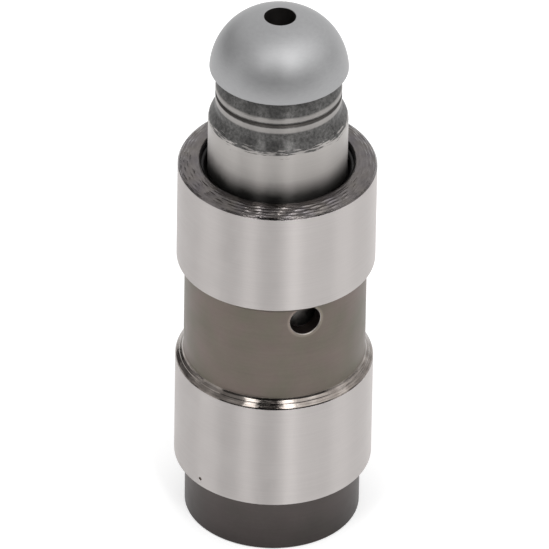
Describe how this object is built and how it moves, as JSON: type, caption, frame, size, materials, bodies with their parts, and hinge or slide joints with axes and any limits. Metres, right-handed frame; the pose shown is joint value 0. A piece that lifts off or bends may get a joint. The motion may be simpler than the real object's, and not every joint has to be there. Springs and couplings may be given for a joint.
{
  "type": "hydraulic valve lash adjuster",
  "caption": "Hydraulic tappet element: a ground cylindrical cup with an oil groove and oil hole, and a sprung plunger with a ball head that a rocker sits on.",
  "frame": {"origin": "centre of the foot's flat face, at the bottom of the part", "axes": "+Z along the axis towards the ball head; the oil hole in the groove faces -Y"},
  "size_m": [0.012, 0.012, 0.0357],
  "materials": {
    "housing_steel": "ground lands, darker as-hardened groove, foot and top face",
    "plunger_steel": "ground stem, polished ball head, mottled as-hardened neck",
    "pressure_plunger_steel": "fine ground",
    "ring_wire": "black oxide spring wire",
    "spring_wire": "oil-tempered spring wire",
    "cage_sheet": "pressed sheet",
    "ball_steel": "lapped"
  },
  "bodies": {
    "housing": {"housing": "housing_steel", "retaining_ring": "ring_wire", "return_spring": "spring_wire"},
    "lower_stack": {"pressure_plunger": "pressure_plunger_steel", "check_ball_cage": "cage_sheet", "check_ball_spring": "spring_wire"},
    "ball_plunger": {"ball_plunger": "plunger_steel"},
    "check_ball": {"check_ball": "ball_steel"}
  },
  "joints": [
    {"name": "plunger_slide", "type": "slide", "parent": "housing", "child": "lower_stack", "axis": [0, 0, 1], "range_m": [-0.003, 0], "stiffness_N_per_m": 1500, "springref_m": 0.0002, "deforming": ["return_spring"]},
    {"name": "plunger_spin", "type": "hinge", "parent": "lower_stack", "child": "ball_plunger", "pos_m": [0, 0, 0.0241], "axis": [0, 0, 1], "continuous": true},
    {"name": "check_ball_lift", "type": "slide", "parent": "lower_stack", "child": "check_ball", "axis": [0, 0, 1], "range_m": [-0.0003, 0], "stiffness_N_per_m": 5, "springref_m": 0.0002, "deforming": ["check_ball_spring"]}
  ]
}
